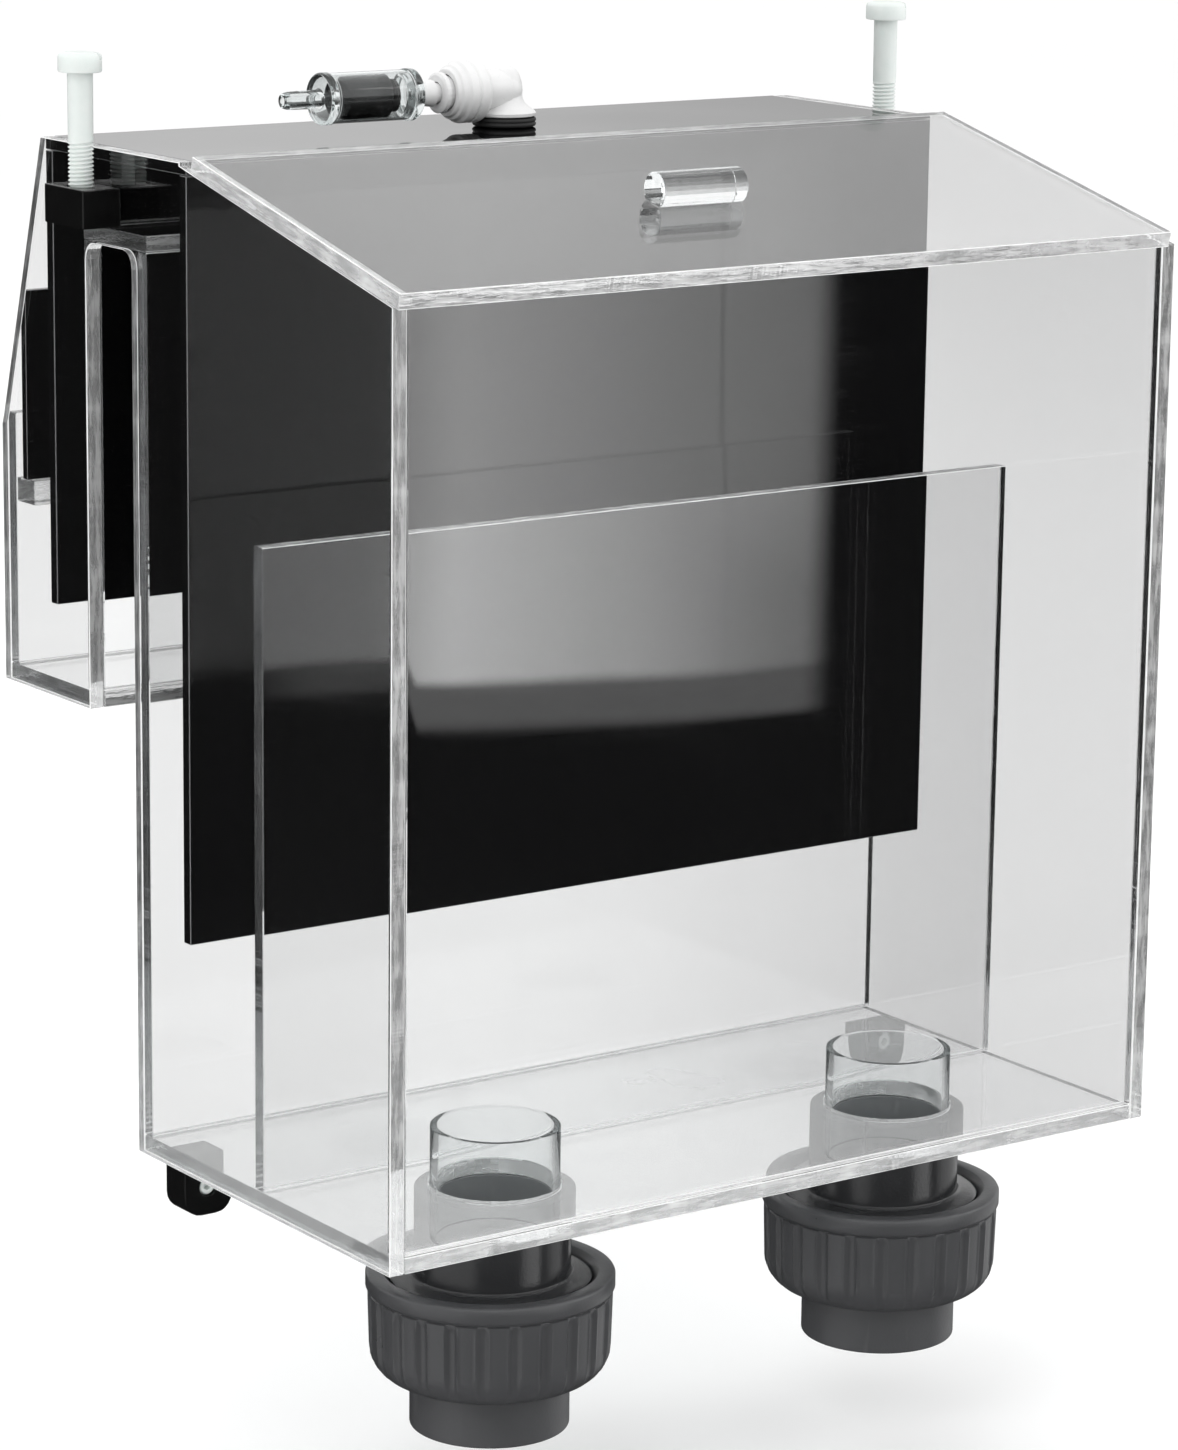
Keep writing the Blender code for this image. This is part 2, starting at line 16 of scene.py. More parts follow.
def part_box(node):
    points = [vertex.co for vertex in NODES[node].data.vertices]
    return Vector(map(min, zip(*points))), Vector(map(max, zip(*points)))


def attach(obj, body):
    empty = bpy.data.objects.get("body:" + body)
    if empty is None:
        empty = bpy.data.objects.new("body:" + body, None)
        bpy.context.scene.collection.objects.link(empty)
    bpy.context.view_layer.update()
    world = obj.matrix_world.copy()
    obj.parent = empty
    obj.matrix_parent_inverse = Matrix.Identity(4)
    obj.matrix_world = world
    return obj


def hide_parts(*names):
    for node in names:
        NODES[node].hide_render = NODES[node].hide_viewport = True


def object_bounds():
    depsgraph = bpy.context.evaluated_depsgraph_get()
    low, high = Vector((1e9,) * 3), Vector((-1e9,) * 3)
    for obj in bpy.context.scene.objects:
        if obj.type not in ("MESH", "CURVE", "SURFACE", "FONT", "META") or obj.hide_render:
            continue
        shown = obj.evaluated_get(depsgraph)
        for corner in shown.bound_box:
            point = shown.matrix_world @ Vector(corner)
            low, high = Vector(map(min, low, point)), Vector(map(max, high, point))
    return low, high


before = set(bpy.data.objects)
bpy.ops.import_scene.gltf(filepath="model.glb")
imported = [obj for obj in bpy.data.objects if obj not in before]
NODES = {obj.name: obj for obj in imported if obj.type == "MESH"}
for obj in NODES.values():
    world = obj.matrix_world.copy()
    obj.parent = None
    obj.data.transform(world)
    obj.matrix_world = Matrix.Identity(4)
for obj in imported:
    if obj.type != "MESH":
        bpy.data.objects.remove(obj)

CAD_BOX = [list(corner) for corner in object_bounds()]
MM = 0.001
SIDES = (("left", -1), ("right", 1))

# unions: both hang on upright axes at x = +-UNION_X
UNION_X, UNION_Y = 76.5, -110.3
FLOOR_BOTTOM = -283.5
SEAT_Z = -327.0              # lower end of the socket
JOINT_GAP = 0.3
NUT_TOP, NUT_END, NUT_R = -307.3, -341.7, 38.5
NUT_RIBS = 24
TAIL_END = -357.0
NECK_R = 24.8
PIPE_R, PIPE_BORE_R = 20.0, 17.9
SOCKET_R = PIPE_R + 0.3      # bore that takes the pipe
PASSAGE_R = 17.5             # bore beyond the pipe's stop

# airline: an upright stem, then an arm along -x
AIR_Y, ARM_Z = -0.3, 41.3
PLATE_TOP, PLATE_T = 29.6, 4.0      # the plate gripped by the grommet
PLATE_BOTTOM = PLATE_TOP - PLATE_T

# nylon levelling screws
SHANK_R = 3.9
THREAD_DEPTH, THREAD_LENGTH, THREAD_PITCH = 0.62, 24.5, 1.25
ROWS_PER_PITCH = 6
HEAD_R, HEAD_H = 6.7, 6.0
SCREW_SEGMENTS = 40
SLOT_SIZE = (16.0, 1.6, 4.4)
SLOT_ANGLE = -52


# ------------------------------------------------------------ mesh helpers
def link(mesh, name):
    obj = bpy.data.objects.new(name, mesh)
    bpy.context.scene.collection.objects.link(obj)
    return obj


def smooth(obj, sharp_angle):
    for face in obj.data.polygons:
        face.use_smooth = True
    obj.data.set_sharp_from_angle(angle=math.radians(sharp_angle))


def to_object(bm, name, sharp_angle):
    """Turns a finished bmesh into a smooth-shaded object."""
    bmesh.ops.recalc_face_normals(bm, faces=bm.faces)
    mesh = bpy.data.meshes.new(name)
    bm.to_mesh(mesh)
    bm.free()
    obj = link(mesh, name)
    smooth(obj, sharp_angle)
    return obj


def skin(bm, ring, next_ring):
    """Joins two rings with faces; either may be a single point."""
    count = max(len(ring), len(next_ring))
    for k in range(count):
        k2 = (k + 1) % count
        if len(ring) == 1:
            bm.faces.new((ring[0], next_ring[k], next_ring[k2]))
        elif len(next_ring) == 1:
            bm.faces.new((ring[k], next_ring[0], ring[k2]))
        else:
            bm.faces.new((ring[k], next_ring[k], next_ring[k2], ring[k2]))


# lathe axis: unit vectors along it and the two across it
LATHE_AXES = {
    "Z": (Vector((0, 0, 1)), Vector((1, 0, 0)), Vector((0, 1, 0))),
    "X": (Vector((1, 0, 0)), Vector((0, 1, 0)), Vector((0, 0, 1))),
}


def add_lathe(bm, profile, centre, axis="Z", segments=64, relief=None):
    """Turns a profile of (radius, height) about an axis.

    A profile that starts on the axis is left open; any other is a closed loop.
    relief(row, turn) is added to the radius, with turn running from 0 to 1.
    """
    along, across, third = LATHE_AXES[axis]
    origin = Vector(centre) * MM
    rings = []
    for row, (radius, height) in enumerate(profile):
        if radius < 1e-6:
            rings.append([bm.verts.new(origin + along * height * MM)])
            continue
        ring = []
        for k in range(segments):
            angle = 2 * math.pi * k / segments
            r = radius + (relief(row, k / segments) if relief else 0.0)
            ring.append(bm.verts.new(
                origin + (across * math.cos(angle) + third * math.sin(angle)) * r * MM
                + along * height * MM))
        rings.append(ring)
    for ring, next_ring in zip(rings, rings[1:]):
        skin(bm, ring, next_ring)
    if profile[0][0] > 0:
        skin(bm, rings[-1], rings[0])


def rounded(points, radius, steps):
    """Rounds the corners of a closed profile, leaving points on the axis.

    radius is one size for all corners, or a list with one for each.
    """
    out = []
    for i, point in enumerate(points):
        before, corner, after = (
            Vector(points[i - 1]), Vector(point), Vector(points[(i + 1) % len(points)]))
        if corner.x < 1e-6:
            out.append((corner.x, corner.y))
            continue
        wanted = radius[i] if isinstance(radius, list) else radius
        to_before, to_after = (before - corner).length, (after - corner).length
        cut = min(wanted, to_before * 0.45, to_after * 0.45)
        start = corner + (before - corner) / to_before * cut
        end = corner + (after - corner) / to_after * cut
        for k in range(steps + 1):
            u = k / steps
            q = start * (1 - u) ** 2 + corner * 2 * u * (1 - u) + end * u ** 2
            out.append((q.x, q.y))
    return out


def break_edges(node, width, segments):
    """Gives a kept CAD node slightly broken edges."""
    obj = NODES[node]
    weld = obj.modifiers.new("weld", "WELD")
    weld.merge_threshold = 1e-5
    bevel = obj.modifiers.new("edge", "BEVEL")
    bevel.width = width * MM
    bevel.segments = segments
    bevel.limit_method = "ANGLE"
    bevel.angle_limit = math.radians(30)
    bevel.use_clamp_overlap = True
    bevel.harden_normals = False


def paint(obj, material):
    slots = obj.data.materials
    if not slots:
        slots.append(material)
    for i in range(len(slots)):
        slots[i] = material


def register(obj, material, rides, replaces=None):
    """Paints a new part, hides the CAD node it replaces and hangs it on its body."""
    paint(obj, material)
    if replaces:
        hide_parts(replaces)
    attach(obj, rides)


# ------------------------------------------------------------ shader graphs
class Graph:
    """Short ways to build a node tree; values may be numbers or sockets."""

    def __init__(self, owner, output_kind="OutputMaterial"):
        owner.use_nodes = True
        self.owner = owner
        self.tree = owner.node_tree
        self.tree.nodes.clear()
        self.output = self.new(output_kind)

    def new(self, kind, **settings):
        node = self.tree.nodes.new("ShaderNode" + kind)
        for key, value in settings.items():
            setattr(node, key, value)
        return node

    def put(self, socket, value):
        if hasattr(value, "is_output"):
            self.tree.links.new(value, socket)
        else:
            socket.default_value = value

    def math(self, op, a, b=0.0, c=0.0, clamp=False):
        node = self.new("Math", operation=op, use_clamp=clamp)
        for socket, value in zip(node.inputs, (a, b, c)):
            self.put(socket, value)
        return node.outputs[0]

    def times(self, a, b):
        return self.math("MULTIPLY", a, b)

    def plus(self, a, b, clamp=False):
        return self.math("ADD", a, b, clamp=clamp)

    def scaled(self, value, by, plus, clamp=False):
        return self.math("MULTIPLY_ADD", value, by, plus, clamp)

    def inverse(self, value):
        return self.math("SUBTRACT", 1.0, value)

    def size(self, value):
        return self.math("ABSOLUTE", value)

    def above(self, value, limit):
        return self.math("GREATER_THAN", value, limit)

    def below(self, value, limit):
        return self.math("LESS_THAN", value, limit)

    def vmath(self, op, a, b=(0, 0, 0)):
        node = self.new("VectorMath", operation=op)
        self.put(node.inputs[0], a)
        self.put(node.inputs[1], b)
        return node.outputs["Value"] if op in ("DOT_PRODUCT", "LENGTH") else node.outputs[0]

    def ramp(self, value, *stops):
        """Straight runs between stops of (position, grey)."""
        node = self.new("ValToRGB")
        self.put(node.inputs[0], value)
        elements = node.color_ramp.elements
        while len(elements) < len(stops):
            elements.new(0.5)
        for element, (position, grey) in zip(elements, stops):
            element.position = position
            element.color = (grey, grey, grey, 1)
        return node.outputs[0]

    def smoothstep(self, value, low, high):
        node = self.new("MapRange", interpolation_type="SMOOTHSTEP")
        self.put(node.inputs["Value"], value)
        node.inputs["From Min"].default_value = low
        node.inputs["From Max"].default_value = high
        return node.outputs[0]

    def noise(self, scale, vector=None, detail=3.0, rough=0.55, stretch=None):
        node = self.new("TexNoise")
        node.inputs["Scale"].default_value = scale
        node.inputs["Detail"].default_value = detail
        node.inputs["Roughness"].default_value = rough
        vector = self.coords if vector is None else vector
        if stretch is not None:
            mapping = self.new("Mapping")
            mapping.inputs["Scale"].default_value = stretch
            self.put(mapping.inputs["Vector"], vector)
            vector = mapping.outputs[0]
        self.put(node.inputs["Vector"], vector)
        return node.outputs[0]

    def line_noise(self, place, scale, detail):
        node = self.new("TexNoise", noise_dimensions="1D")
        node.inputs["Scale"].default_value = scale
        node.inputs["Detail"].default_value = detail
        self.put(node.inputs["W"], place)
        return node.outputs[0]

    @cached_property
    def coords(self):
        return self.new("TexCoord").outputs["Object"]

    def face_normal(self):
        return self.new("NewGeometry").outputs["True Normal"]

    def xyz(self, vector):
        node = self.new("SeparateXYZ")
        self.put(node.inputs[0], vector)
        return node.outputs

    def plane(self, x, y):
        node = self.new("CombineXYZ")
        self.put(node.inputs[0], x)
        self.put(node.inputs[1], y)
        return node.outputs[0]

    def mix(self, amount, a, b):
        node = self.new("MixShader")
        for socket, value in zip(node.inputs, (amount, a, b)):
            self.put(socket, value)
        return node.outputs[0]

    def mix_colour(self, amount, a, b):
        node = self.new("Mix", data_type="RGBA")
        self.put(node.inputs[0], amount)
        self.put(node.inputs[6], a if hasattr(a, "is_output") else (*a, 1))
        self.put(node.inputs[7], b if hasattr(b, "is_output") else (*b, 1))
        return node.outputs[2]

    def mix_vector(self, amount, a, b):
        node = self.new("Mix", data_type="VECTOR")
        self.put(node.inputs[0], amount)
        self.put(node.inputs[4], a)
        self.put(node.inputs[5], b)
        return node.outputs[1]

    def bump(self, height, distance, strength):
        node = self.new("Bump")
        node.inputs["Strength"].default_value = strength
        node.inputs["Distance"].default_value = distance
        self.put(node.inputs["Height"], height)
        return node.outputs[0]

    def shader(self, kind, **inputs):
        node = self.new(kind)
        for key, value in inputs.items():
            socket = node.inputs[key.replace("_", " ")]
            if isinstance(value, tuple) and socket.type == "RGBA":
                value = (*value, 1)
            self.put(socket, value)
        return node.outputs[0]

    def mirrored(self):
        """1 for rays that have met a glossy face."""
        return self.above(self.new("LightPath").outputs["Glossy Depth"], limit=0.5)

    def finish(self, surface):
        self.put(self.output.inputs["Surface"], surface)
        return self.owner

    def finish_clear(self, body, shade):
        """Lets shadow and diffuse rays straight through, tinted by shade."""
        rays = self.new("LightPath").outputs
        soft = self.math("MAXIMUM", rays["Is Shadow Ray"], rays["Is Diffuse Ray"])
        return self.finish(self.mix(soft, body, self.shader("BsdfTransparent", Color=shade)))

    def finish_solid(self, **inputs):
        return self.finish(self.shader("BsdfPrincipled", **inputs))


def material_graph(name):
    return Graph(bpy.data.materials.new(name))


# ------------------------------------------------------------ materials
SHEET_NORMALS = {"X": (1, 0, 0), "Y": (0, 1, 0), "Z": (0, 0, 1),
                 "Lid": (0.0, -0.2362, 0.9717)}     # square to the sloping lid


def acrylic_sheet(name, axis, seed=0.0, darker=0.0, milky=0.0):
    """Clear cast sheet: polished faces, sawn and flame-polished cut edges."""
    t = material_graph("acrylic_sheet_" + name)
    unit = SHEET_NORMALS[axis]
    normal = t.face_normal()
    facing = t.size(t.vmath("DOT_PRODUCT", normal, unit))
    along = t.vmath("DOT_PRODUCT", t.coords, t.vmath("CROSS_PRODUCT", normal, unit))
    across = t.vmath("DOT_PRODUCT", t.coords, unit)
    cut = t.below(facing, limit=0.9)
    along = t.plus(along, seed)

    # broad faces: faint waviness and fine rub marks
    wave = t.noise(scale=6.0, detail=1.0)
    rub = t.noise(scale=420.0, detail=4.0, stretch=(1.0, 0.12, 0.35))
    # cut edges: tool chatter that comes and goes along the edge
    chatter = t.line_noise(along, scale=620.0, detail=1.0)
    gate = t.smoothstep(t.line_noise(along, scale=22.0, detail=2.0), low=0.54, high=0.64)
    drift = t.line_noise(along, scale=90.0, detail=2.0)
    mottle = t.noise(scale=260.0, detail=3.0)
    drawn_out = t.plane(t.times(along, 0.14), across)      # streaks run along the edge
    streak = t.noise(scale=520.0, vector=drawn_out, detail=3.0)
    height = t.scaled(t.times(chatter, gate), by=0.8,
                      plus=t.scaled(drift, by=0.14, plus=t.times(mottle, 0.10)))
    height = t.scaled(streak, by=0.34, plus=height)
    relief = t.mix_vector(cut, t.bump(wave, distance=0.0006, strength=0.20),
                          t.bump(height, distance=0.0006, strength=0.85))

    rough = t.scaled(cut, by=0.05, plus=t.ramp(rub, (0.45, 0.0), (0.80, 0.008)))
    low, high = 0.972 - darker, 0.980 - darker             # range of the glass tint
    tint = t.mix_colour(t.noise(scale=9.0, detail=2.0), (low, low + 0.001, low + 0.0015),
                        (high, high + 0.001, high + 0.001))
    if axis != "X":
        # painted shade: the tint deepens towards +x, standing in for a dim grey reflection on
        # that side
        dim = t.smoothstep(t.xyz(t.coords)[0], low=-0.01, high=0.09)
        tint = t.mix_colour(dim, tint, (high - 0.042, high - 0.042, high - 0.041))
    body = t.shader("BsdfGlass", Color=tint, Roughness=rough, IOR=1.49, Normal=relief)

    # frosting that scatters a little light, more on the cuts and their bevels
    dust = t.smoothstep(t.noise(scale=420.0, detail=2.0), low=0.76, high=0.82)
    dust = t.times(dust, 0.05)
    frost = t.scaled(t.smoothstep(streak, low=0.38, high=0.66), by=0.22, plus=0.14)
    frost = t.scaled(t.smoothstep(drift, low=0.45, high=0.70), by=0.10, plus=frost)
    frost = t.times(frost, cut)
    bevel = t.times(cut, t.above(facing, limit=0.15))
    frost = t.scaled(bevel, by=0.60, plus=frost)
    if axis in ("Y", "Z"):
        # the ends glued to the end plates are wetted clear by the cement
        glued = t.above(t.size(t.xyz(normal)[0]), limit=0.6)
        frost = t.times(frost, t.scaled(glued, by=-0.88, plus=1.0))
    film = t.plus(t.plus(dust, 0.0006), frost, clamp=True)
    if milky:
        haze = t.ramp(t.noise(scale=30.0, detail=4.0), (0.3, milky * 0.8), (0.7, milky * 1.2))
        film = t.plus(film, t.times(haze, t.inverse(cut)), clamp=True)
    body = t.mix(film, body, t.shader("BsdfDiffuse", Color=(0.92, 0.92, 0.92)))

    if axis == "X":
        # painted shade: sloping cut faces over the siphon are painted black, standing in for
        # its black sheets seen through them;
        # they face +y and up, at y beyond 41 mm
        facings = t.xyz(normal)
        place = t.xyz(t.coords)
        dark = t.times(t.above(facings[1], limit=0.5), t.above(facings[2], limit=0.02))
        dark = t.times(dark, t.above(place[1], limit=0.041))
        body = t.mix(dark, body, t.shader(
            "BsdfPrincipled", Base_Color=(0.006, 0.006, 0.006), Roughness=0.3))
    return t.finish_clear(body, t.mix_colour(cut, (0.955, 0.96, 0.96), (0.80, 0.81, 0.81)))


def clear_moulding(name, tint=(0.985, 0.99, 0.99), rough=0.01, ior=1.49):
    """Solid clear plastic that bends light, for tubes, knob and valve."""
    t = material_graph(name)
    wave = t.bump(t.noise(scale=140.0, detail=2.0), distance=0.0002, strength=0.20)
    body = t.shader("BsdfGlass", Color=tint, Roughness=rough, IOR=ior, Normal=wave)
    smear = t.smoothstep(t.noise(scale=300.0, detail=3.0), low=0.55, high=0.8)
    body = t.mix(t.times(smear, 0.04), body, t.shader("BsdfDiffuse", Color=(0.9, 0.9, 0.9)))
    return t.finish_clear(body, (0.90, 0.91, 0.91))


def black_acrylic():
    """Glossy black sheet with dust specks, scratches and bevels painted grey as highlights.
    """
    t = material_graph("black_acrylic")
    colour = t.mix_colour(t.noise(scale=14.0, detail=3.0),
                          (0.0016, 0.0016, 0.0018), (0.0034, 0.0033, 0.0035))
    specks = t.smoothstep(t.noise(scale=1500.0, detail=2.0), low=0.75, high=0.81)
    colour = t.mix_colour(t.times(specks, 0.16), colour, (0.25, 0.25, 0.25))
    # a bevel is a face that is square to no axis
    x, y, z = t.xyz(t.face_normal())
    square = t.math("MAXIMUM", t.size(x), t.math("MAXIMUM", t.size(y), t.size(z)))
    bevel = t.below(square, limit=0.93)
    # painted highlight: the bevels are made grey to show light lines along the sheet edges
    colour = t.mix_colour(bevel, colour, (0.20, 0.20, 0.205))
    scratch = t.noise(scale=500.0, detail=5.0, stretch=(0.15, 1.0, 1.0))
    rough = t.ramp(scratch, (0.40, 0.015), (0.80, 0.07))
    wave = t.bump(t.noise(scale=9.0, detail=1.0), distance=0.0010, strength=0.25)
    return t.finish_solid(Base_Color=colour, IOR=1.37, Normal=wave,
                          Roughness=t.scaled(bevel, by=0.25, plus=rough))


def nylon():
    """Milky, slightly translucent nylon."""
    t = material_graph("natural_nylon")
    mottle = t.noise(scale=180.0, detail=3.0)
    fine = t.noise(scale=1400.0, detail=3.0)
    return t.finish_solid(
        Base_Color=t.mix_colour(mottle, (0.66, 0.71, 0.69), (0.76, 0.79, 0.77)),
        Roughness=t.ramp(fine, (0.3, 0.30), (0.7, 0.46)), IOR=1.53,
        Normal=t.bump(t.scaled(mottle, by=0.5, plus=fine), distance=0.00012, strength=0.5),
        Subsurface_Weight=0.45, Subsurface_Radius=(0.9, 1.0, 1.0), Subsurface_Scale=0.003)


def white_plastic():
    t = material_graph("white_acetal")
    mottle = t.noise(scale=120.0, detail=2.0)
    fine = t.noise(scale=1600.0, detail=3.0)
    return t.finish_solid(
        Base_Color=t.mix_colour(mottle, (0.74, 0.74, 0.74), (0.82, 0.82, 0.82)),
        Roughness=t.ramp(fine, (0.3, 0.26), (0.7, 0.38)), IOR=1.48,
        Normal=t.bump(fine, distance=0.00006, strength=0.5))


def grey_pvc(name, tone, rough, bore=False):
    """Mottled, scuffed grey PVC; rough is the roughness range of the mottling."""
    t = material_graph(name)
    mottle = t.noise(scale=45.0, detail=5.0, rough=0.65)
    flow = t.noise(scale=120.0, detail=4.0, stretch=(1, 1, 0.15))
    colour = t.mix_colour(mottle, tuple(tone * v for v in (0.050, 0.051, 0.054)),
                          tuple(tone * v for v in (0.072, 0.073, 0.077)))
    scuff = t.smoothstep(flow, low=0.66, high=0.80)
    colour = t.mix_colour(t.times(scuff, 0.35 * tone), colour, (0.17, 0.17, 0.175))
    if bore:
        # the bore around the clear pipe is made paler than the outside
        x, y, z = t.xyz(t.coords)
        from_axis = t.vmath("LENGTH", t.plane(
            t.math("SUBTRACT", t.size(x), UNION_X * MM), t.plus(y, -UNION_Y * MM)))
        inside = t.inverse(t.smoothstep(from_axis, low=0.0205, high=0.0208))
        colour = t.mix_colour(inside, colour, (0.24, 0.24, 0.245))
    # paler along the sharp outer edges
    sharp_edge_paler = t.smoothstep(t.new("NewGeometry").outputs["Pointiness"], low=0.53, high=0.62)
    colour = t.mix_colour(t.times(sharp_edge_paler, 0.35), colour, (0.16, 0.16, 0.165))
    fine = t.noise(scale=1100.0, detail=4.0)
    return t.finish_solid(
        Base_Color=colour, IOR=1.53,
        Roughness=t.ramp(mottle, (0.30, rough[0]), (0.70, rough[1])),
        Normal=t.bump(t.scaled(mottle, by=0.6, plus=fine), distance=0.00014, strength=0.45))


def black_plastic(name, rough, tone, bump):
    """Black plastic or rubber; rough is a range, bump the depth of the grain."""
    t = material_graph(name)
    mottle = t.noise(scale=160.0, detail=4.0)
    fine = t.noise(scale=1300.0, detail=4.0)
    return t.finish_solid(
        Base_Color=t.mix_colour(mottle, (tone * 0.7,) * 3, (tone * 1.5,) * 3),
        Roughness=t.ramp(mottle, (0.3, rough[0]), (0.7, rough[1])), IOR=1.48,
        Normal=t.bump(fine, distance=bump, strength=0.5))


CLEAR_X = acrylic_sheet("x", "X")
CLEAR_Y = acrylic_sheet("y", "Y")
CLEAR_Z = acrylic_sheet("z", "Z")
CLEAR_LID = acrylic_sheet("lid", "Lid")
# painted shade: the right side panel's tint is made darker, standing in for a dim reflection
# on it
CLEAR_X_RIGHT = acrylic_sheet("x_right", "X", seed=0.37, darker=0.060)
CLEAR_FLOOR = acrylic_sheet("floor", "Z", seed=0.11, milky=0.19)
CLEAR_TUBE = clear_moulding("clear_tube", tint=(0.975, 0.98, 0.98), rough=0.0, ior=1.13)
CLEAR_KNOB = clear_moulding("clear_bar", rough=0.005)
CLEAR_VALVE = clear_moulding("clear_valve", tint=(0.93, 0.94, 0.94))
BLACK_SHEET = black_acrylic()
NYLON = nylon()
WHITE = white_plastic()
PVC_TAIL = grey_pvc("grey_pvc", tone=1.0, rough=(0.34, 0.50))
PVC_NUT = grey_pvc("grey_pvc_nut", tone=0.88, rough=(0.27, 0.42))
PVC_SOCKET = grey_pvc("grey_pvc_gloss", tone=0.40, rough=(0.10, 0.20), bore=True)
RUBBER = black_plastic("epdm_rubber", rough=(0.60, 0.80), tone=0.016, bump=0.00020)
VALVE_CORE = black_plastic("valve_core_plastic", rough=(0.16, 0.26), tone=0.0045,
                           bump=0.00008)
BLACK_BLOCK = black_plastic("black_block", rough=(0.08, 0.16), tone=0.004, bump=0.00004)

# ------------------------------------------------------------ kept CAD pieces
# material, edge width, edge segments, nodes
KEPT = (
    (CLEAR_X, 0.28, 1, ("side_panel_left",)),
    (CLEAR_X_RIGHT, 0.28, 1, ("side_panel_right",)),
    (CLEAR_Y, 0.28, 1, ("outer_front_panel", "outer_rear_panel", "chamber_baffle",
                        "inner_front_panel", "weir_panel")),
    (CLEAR_Z, 0.28, 1, ("bridge_plate", "inner_floor", "comb_ledge")),
    (CLEAR_FLOOR, 0.28, 1, ("outer_floor",)),
    (CLEAR_LID, 0.28, 1, ("lid",)),
    (BLACK_SHEET, 0.22, 1, ("siphon_top", "siphon_front_sheet", "siphon_rear_sheet")),
    (BLACK_SHEET, 0.20, 1, ("weir_comb",)),
    (BLACK_BLOCK, 0.4, 2, ("rim_block_left", "rim_block_right",
                           "foot_block_left", "foot_block_right")),
    (RUBBER, 0.15, 2, ("valve_disc",)),
    (NYLON, 0.15, 1, ("foot_screw_left", "foot_screw_right")),
    (CLEAR_KNOB, 0.25, 2, ("lid_knob",)),
    (WHITE, 0.2, 2, ("elbow_collet",)),
)


def finish_kept_pieces():
    for material, width, segments, nodes in KEPT:
        for node in nodes:
            break_edges(node, width, segments)
            paint(NODES[node], material)
    for side, _ in SIDES:
        paint(NODES["union_oring_" + side], RUBBER)


# ------------------------------------------------------------ nylon screws
def thread_radius(height, turn):
    """Radius of the threaded shank at a height above the tip."""
    root = SHANK_R - THREAD_DEPTH
    phase = (height / THREAD_PITCH - turn) % 1.0
    crest = min(1.0, max(0.0, 1.35 * (1 - abs(2 * phase - 1)) - 0.1))
    radius = root + THREAD_DEPTH * crest
    if height < 1.6:                       # pointed tip
        radius = min(radius, root - 0.5 + height * 0.75)
    run_out = 1.2
    if height > THREAD_LENGTH - run_out:
        fade = (height - THREAD_LENGTH + run_out) / run_out
        radius = radius * (1 - fade) + SHANK_R * fade
    return radius


def screw_rows(shank):
    """Rows of (radii round the screw, height) from the tip to the head's top."""
    rows = []
    step = THREAD_PITCH / ROWS_PER_PITCH
    for row in range(int(THREAD_LENGTH / step) + 1):
        height = row * step
        rows.append(([thread_radius(height, k / SCREW_SEGMENTS)
                      for k in range(SCREW_SEGMENTS)], height))
    plain = [      # radius, height above the head's underside
        (SHANK_R, -0.5), (SHANK_R + 0.12, -0.15), (SHANK_R + 0.5, 0.0),
        (HEAD_R - 0.5, 0.0), (HEAD_R - 0.12, 0.12), (HEAD_R, 0.5),
        (HEAD_R, HEAD_H - 1.5), (HEAD_R - 0.25, HEAD_H - 0.75),
        (HEAD_R - 0.9, HEAD_H - 0.25), (HEAD_R - 2.0, HEAD_H - 0.03),
        (HEAD_R - 3.6, HEAD_H)]
    rows += [([radius] * SCREW_SEGMENTS, shank + height) for radius, height in plain]
    return rows


def cut_driver_slot(screw, x, y, top, side):
    """Cuts a screwdriver slot across the head."""
    bm = bmesh.new()
    bmesh.ops.create_cube(bm, size=1.0, matrix=Matrix.Translation(
        Vector((x, y, top)) * MM) @ Matrix.Rotation(math.radians(SLOT_ANGLE), 4, "Z")
        @ Matrix.Diagonal((*(size * MM for size in SLOT_SIZE), 1)))
    mesh = bpy.data.meshes.new("slot_" + side)
    bm.to_mesh(mesh)
    bm.free()
    cutter = link(mesh, "slot_" + side)
    boolean = screw.modifiers.new("slot", "BOOLEAN")
    boolean.object = cutter
    boolean.operation = "DIFFERENCE"
    boolean.solver = "EXACT"
    bpy.context.view_layer.update()
    depsgraph = bpy.context.evaluated_depsgraph_get()
    slotted = bpy.data.meshes.new_from_object(screw.evaluated_get(depsgraph))
    screw.modifiers.clear()
    screw.data = slotted
    bpy.data.objects.remove(cutter)
    smooth(screw, 40)


def level_screw(side):
    """Cheese-head screw standing where the CAD one stands."""
    node = "level_screw_" + side
    low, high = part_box(node)
    x, y = (low.x + high.x) / 2 / MM, (low.y + high.y) / 2 / MM
    tip, top = low.z / MM, high.z / MM
    bm = bmesh.new()
    rings = []
    for radii, height in screw_rows(top - HEAD_H - tip):
        ring = []
        for k, radius in enumerate(radii):
            angle = 2 * math.pi * k / SCREW_SEGMENTS
            ring.append(bm.verts.new(Vector((
                x + math.cos(angle) * radius, y + math.sin(angle) * radius,
                tip + height)) * MM))
        rings.append(ring)
    for ring, next_ring in zip(rings, rings[1:]):
        skin(bm, ring, next_ring)
    bm.faces.new(list(reversed(rings[0])))
    bm.faces.new(rings[-1])
    screw = to_object(bm, "nylon_" + node, 40)
    cut_driver_slot(screw, x, y, top, side)
    register(screw, NYLON, rides=node, replaces=node)


# ------------------------------------------------------------ unions
def union_part(name, profile, sign, sharp_angle=35, segments=96, relief=None):
    bm = bmesh.new()
    add_lathe(bm, profile, (sign * UNION_X, UNION_Y, 0), segments=segments, relief=relief)
    return to_object(bm, name, sharp_angle)


